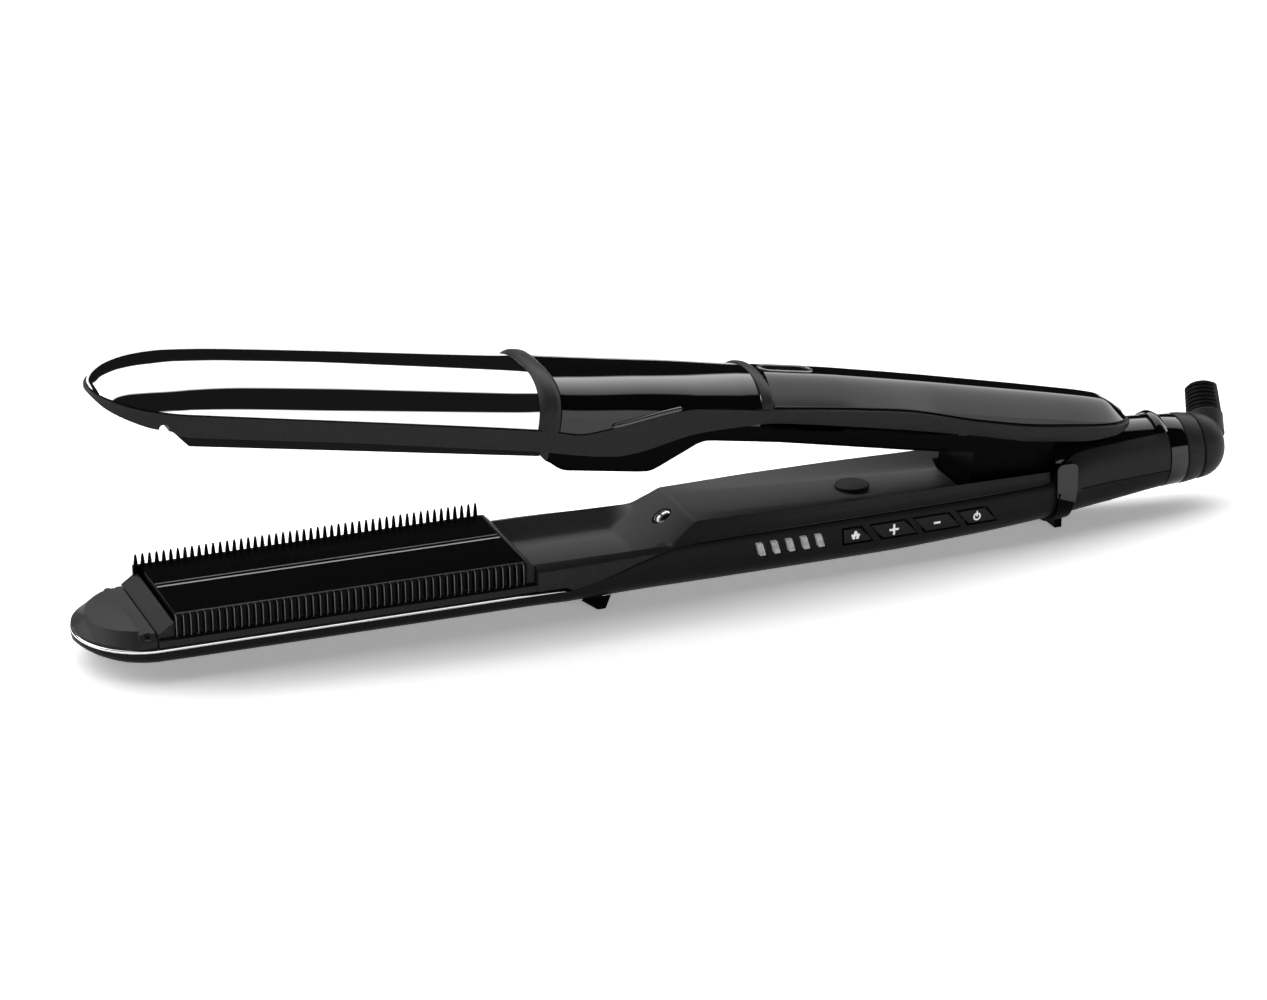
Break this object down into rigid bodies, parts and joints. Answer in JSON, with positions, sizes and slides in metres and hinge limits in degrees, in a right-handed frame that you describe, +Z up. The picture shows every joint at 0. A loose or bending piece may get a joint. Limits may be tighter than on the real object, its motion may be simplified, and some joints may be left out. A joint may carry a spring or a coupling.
{
  "type": "steam hair straightener with clip-on comb",
  "caption": "Hand-held steam hair straightener, resting open: two sprung arms with heating plates, clip-on comb, lift-off water tank, side keys and a swivelling cord elbow.",
  "frame": {"origin": "centre of the flat sole of the front foot under the lower arm, on the table", "axes": "+Z up, +X along the lower arm towards the cord, +Y away from the keys; the plates point to -X"},
  "size_m": [0.3491, 0.0432, 0.0834],
  "materials": {
    "matte_shell": "fine matte",
    "dark_plastic": "satin",
    "gloss_plastic": "high gloss",
    "chrome": "polished plating",
    "plate_coating": "smooth ceramic-like coating",
    "steel": "plain",
    "rubber": "matte",
    "lamp_lens": "frosted",
    "circuit_board": "lacquered",
    "heater_sheet": "mica",
    "pale_plastic": "natural"
  },
  "bodies": {
    "lower_arm": {"lower_housing": "matte_shell", "lower_frame": "matte_shell", "chrome_trim": "chrome", "nose_cap": "matte_shell", "comb": "dark_plastic", "lower_plate": "plate_coating", "lower_heater": "heater_sheet", "lower_plate_bed": "dark_plastic", "deck_screw": "steel", "bumper_pad": "rubber", "level_lamp_1": "lamp_lens", "level_lamp_2": "lamp_lens", "level_lamp_3": "lamp_lens", "level_lamp_4": "lamp_lens", "level_lamp_5": "lamp_lens", "key_board": "circuit_board", "main_board": "circuit_board", "wedge_foot": "dark_plastic", "side_foot": "gloss_plastic", "hinge_pin": "steel", "opening_spring": "steel", "barrel_cover": "gloss_plastic", "rear_sleeve": "gloss_plastic", "cord_collar": "matte_shell"},
    "steam_key": {"steam_key": "gloss_plastic"},
    "plus_key": {"plus_key": "gloss_plastic"},
    "minus_key": {"minus_key": "gloss_plastic"},
    "power_key": {"power_key": "gloss_plastic"},
    "lock_ring": {"lock_ring": "matte_shell"},
    "cord_swivel": {"swivel_elbow": "matte_shell", "cord_boot": "rubber", "cord_stub": "rubber"},
    "upper_arm": {"upper_frame": "matte_shell", "chrome_shell": "chrome", "front_ring": "matte_shell", "mid_cover": "gloss_plastic", "rear_band": "matte_shell", "handle_frame": "matte_shell", "inner_housing": "dark_plastic", "upper_plate_bed": "dark_plastic", "plate_spring_1": "steel", "plate_spring_2": "steel", "steam_chamber": "steel", "water_tube": "pale_plastic", "water_pump": "pale_plastic", "tank_seat": "dark_plastic"},
    "upper_plate": {"upper_plate": "plate_coating", "upper_heater": "heater_sheet"},
    "tank": {"water_tank": "gloss_plastic", "tank_plug": "rubber"},
    "tank_release": {"tank_release": "matte_shell"}
  },
  "joints": [
    {"name": "arm_hinge", "type": "hinge", "parent": "lower_arm", "child": "upper_arm", "pos_m": [0.157, 0, 0.0175], "axis": [0, 1, 0], "range_deg": [-9.5, 0], "stiffness_Nm_per_rad": 0.6, "springref_deg": 40.11, "deforming": ["opening_spring"]},
    {"name": "plate_float", "type": "slide", "parent": "upper_arm", "child": "upper_plate", "axis": [0.1668, 0, 0.986], "range_m": [0, 0.0009], "stiffness_N_per_m": 400, "springref_m": -0.002, "deforming": ["plate_spring_1", "plate_spring_2"]},
    {"name": "tank_lift", "type": "slide", "parent": "upper_arm", "child": "tank", "axis": [0.1668, 0, 0.986], "range_m": [0, 0.03]},
    {"name": "tank_release_press", "type": "slide", "parent": "tank", "child": "tank_release", "axis": [-0.1668, 0, -0.986], "range_m": [0, 0.0012]},
    {"name": "lock_ring_slide", "type": "slide", "parent": "lower_arm", "child": "lock_ring", "axis": [-1, 0, 0], "range_m": [0, 0.003]},
    {"name": "cord_swivel_turn", "type": "hinge", "parent": "lower_arm", "child": "cord_swivel", "pos_m": [0.193, 0, 0.0154], "axis": [1, 0, 0], "continuous": true},
    {"name": "steam_key_press", "type": "slide", "parent": "lower_arm", "child": "steam_key", "axis": [0, 1, 0], "range_m": [0, 0.0006]},
    {"name": "plus_key_press", "type": "slide", "parent": "lower_arm", "child": "plus_key", "axis": [0, 1, 0], "range_m": [0, 0.0006]},
    {"name": "minus_key_press", "type": "slide", "parent": "lower_arm", "child": "minus_key", "axis": [0, 1, 0], "range_m": [0, 0.0006]},
    {"name": "power_key_press", "type": "slide", "parent": "lower_arm", "child": "power_key", "axis": [0, 1, 0], "range_m": [0, 0.0006]}
  ]
}
